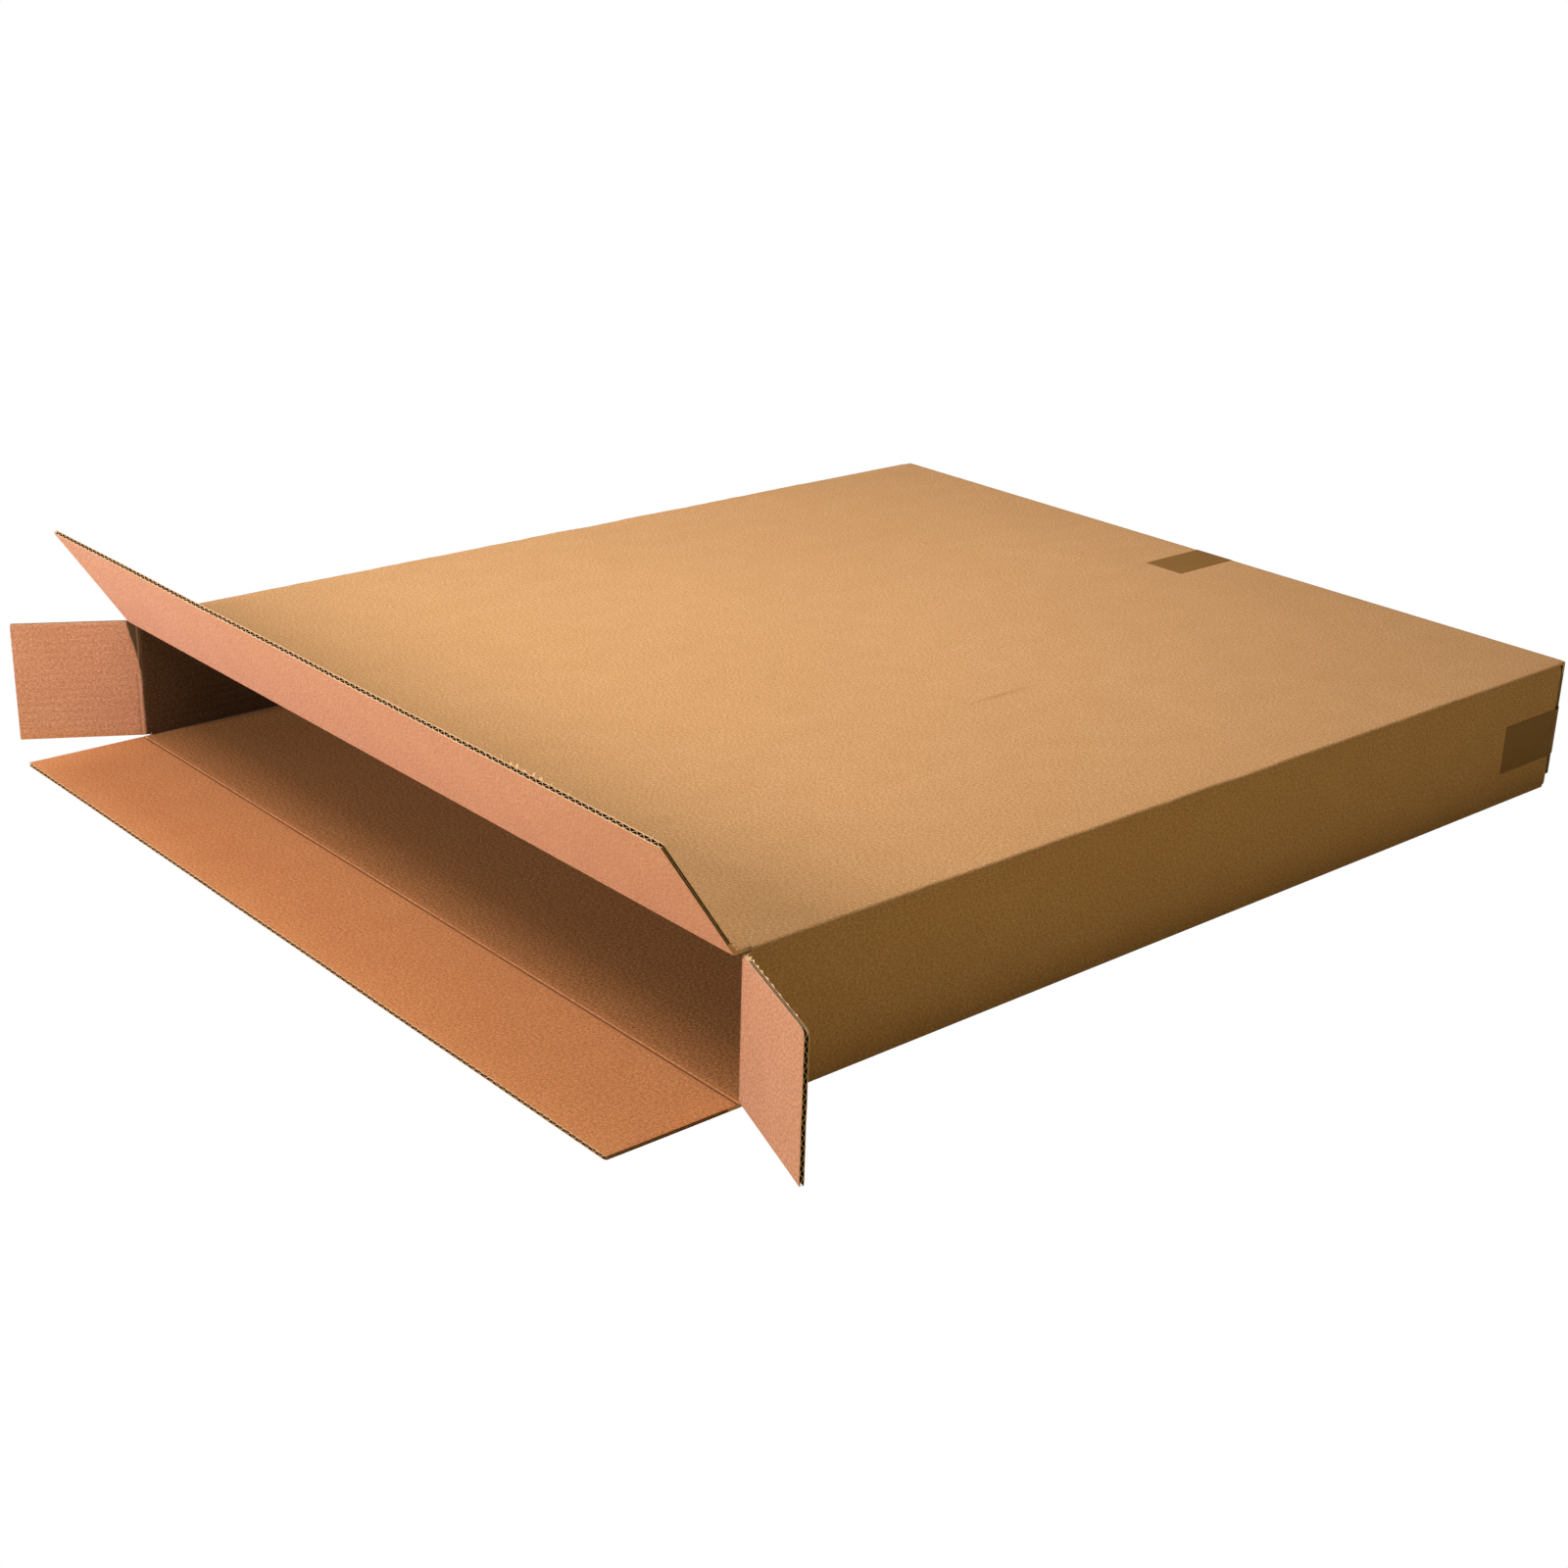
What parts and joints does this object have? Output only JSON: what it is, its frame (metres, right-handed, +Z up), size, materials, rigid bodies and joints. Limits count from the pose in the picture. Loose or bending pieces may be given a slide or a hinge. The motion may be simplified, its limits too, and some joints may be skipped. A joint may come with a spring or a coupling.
{
  "type": "corrugated cardboard box",
  "caption": "Wide, shallow corrugated cardboard carton lying flat, closed and taped at the far end, with four hinged flaps standing open at the near end.",
  "frame": {"origin": "middle of the carton's underside, on the surface it lies on", "axes": "+X along the open end to the right, +Y from the open end to the taped end, +Z up"},
  "size_m": [1.092, 1.1559, 0.2265],
  "materials": {
    "kraft_board": "matt brown kraft board",
    "paper_tape": "matt brown packing tape"
  },
  "bodies": {
    "carton": {"carton_shell": "kraft_board", "seam_tape": "paper_tape", "cross_tape": "paper_tape"},
    "top_flap": {"top_flap": "kraft_board"},
    "bottom_flap": {"bottom_flap": "kraft_board"},
    "left_flap": {"left_flap": "kraft_board"},
    "right_flap": {"right_flap": "kraft_board"}
  },
  "joints": [
    {"name": "top_flap_fold", "type": "hinge", "parent": "carton", "child": "top_flap", "pos_m": [0, -0.5208, 0.12815], "axis": [1, 0, 0], "range_deg": [-123.5, 146.5]},
    {"name": "bottom_flap_fold", "type": "hinge", "parent": "carton", "child": "bottom_flap", "pos_m": [0, -0.5164, -0.00015], "axis": [-1, 0, 0], "range_deg": [-180, 90]},
    {"name": "left_flap_fold", "type": "hinge", "parent": "carton", "child": "left_flap", "pos_m": [-0.46115, -0.512, 0.064], "axis": [0, 0, 1], "range_deg": [-150, 120]},
    {"name": "right_flap_fold", "type": "hinge", "parent": "carton", "child": "right_flap", "pos_m": [0.46115, -0.512, 0.064], "axis": [0, 0, -1], "range_deg": [-110, 160]}
  ]
}
